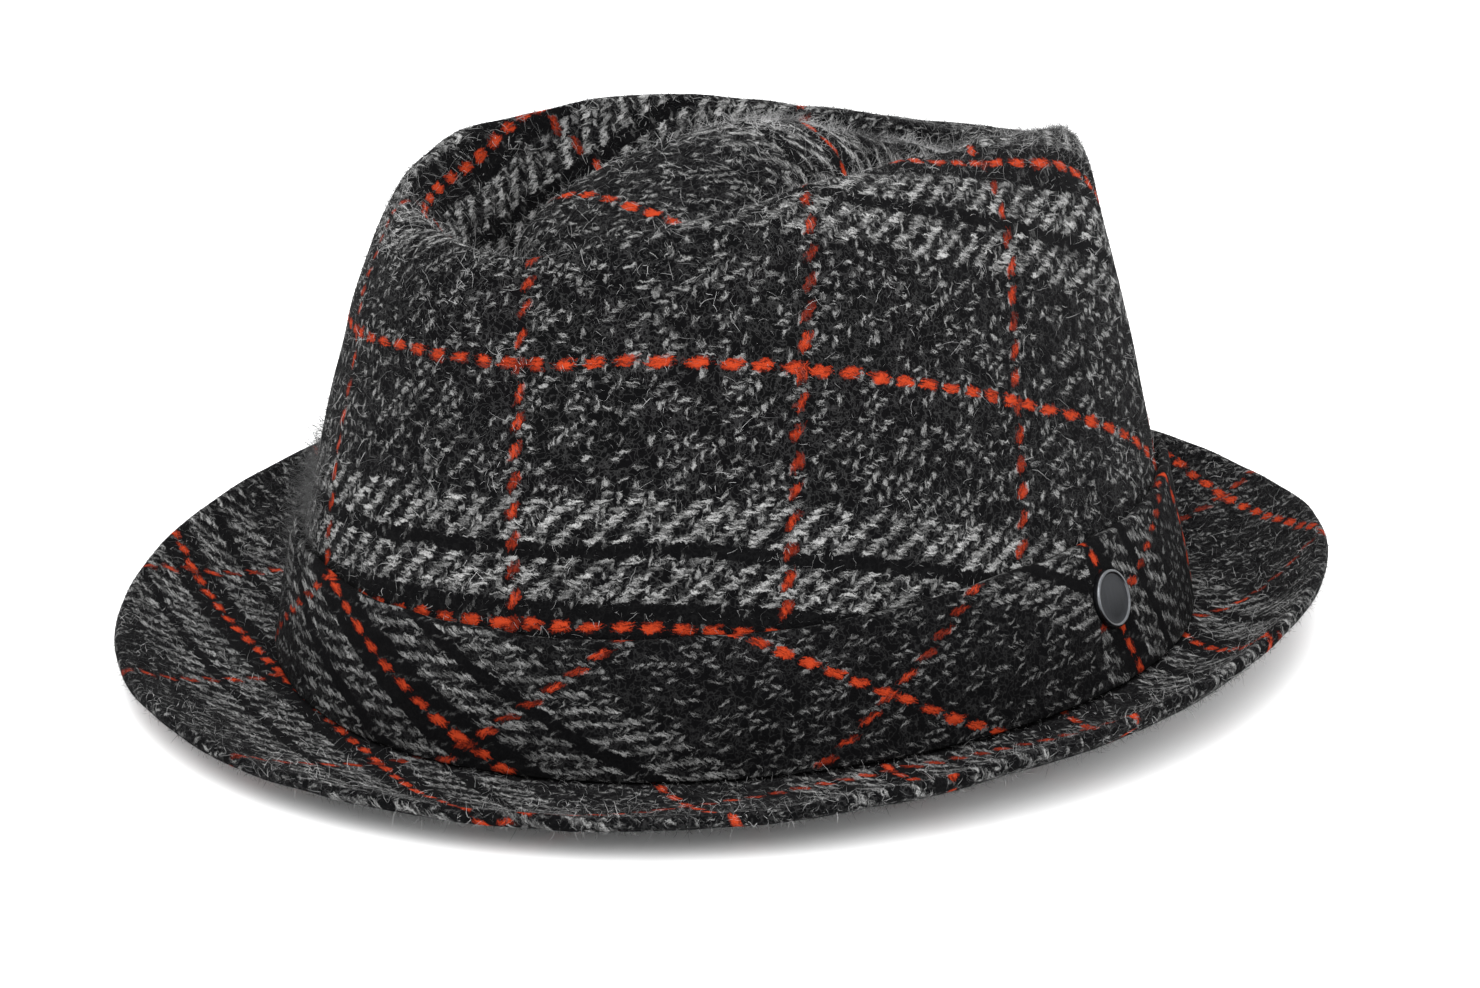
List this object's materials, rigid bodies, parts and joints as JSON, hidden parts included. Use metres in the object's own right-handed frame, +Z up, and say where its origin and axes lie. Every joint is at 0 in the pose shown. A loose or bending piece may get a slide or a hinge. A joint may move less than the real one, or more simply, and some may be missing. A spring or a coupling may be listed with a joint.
{
  "type": "trilby",
  "caption": "Wool tweed trilby with a teardrop crown, a narrow turned-up brim, a band of the same cloth and a small round metal badge.",
  "frame": {"origin": "centre of the bottom of the hat's box, on the surface that the brim rests on", "axes": "+Z up, -Y towards the hat's front, +X towards the wearer's left"},
  "size_m": [0.2464, 0.2768, 0.1131],
  "materials": {
    "crown_cloth": "napped wool tweed, charcoal and grey with orange-red checks",
    "brim_cloth": "napped wool tweed, charcoal and grey with orange-red checks",
    "band_cloth": "napped wool tweed cut on the bias",
    "badge_metal": "dark gunmetal, finely brushed, bare"
  },
  "bodies": {
    "root": {"crown": "crown_cloth", "brim": "brim_cloth", "hat_band": "band_cloth", "badge": "badge_metal"}
  },
  "joints": []
}
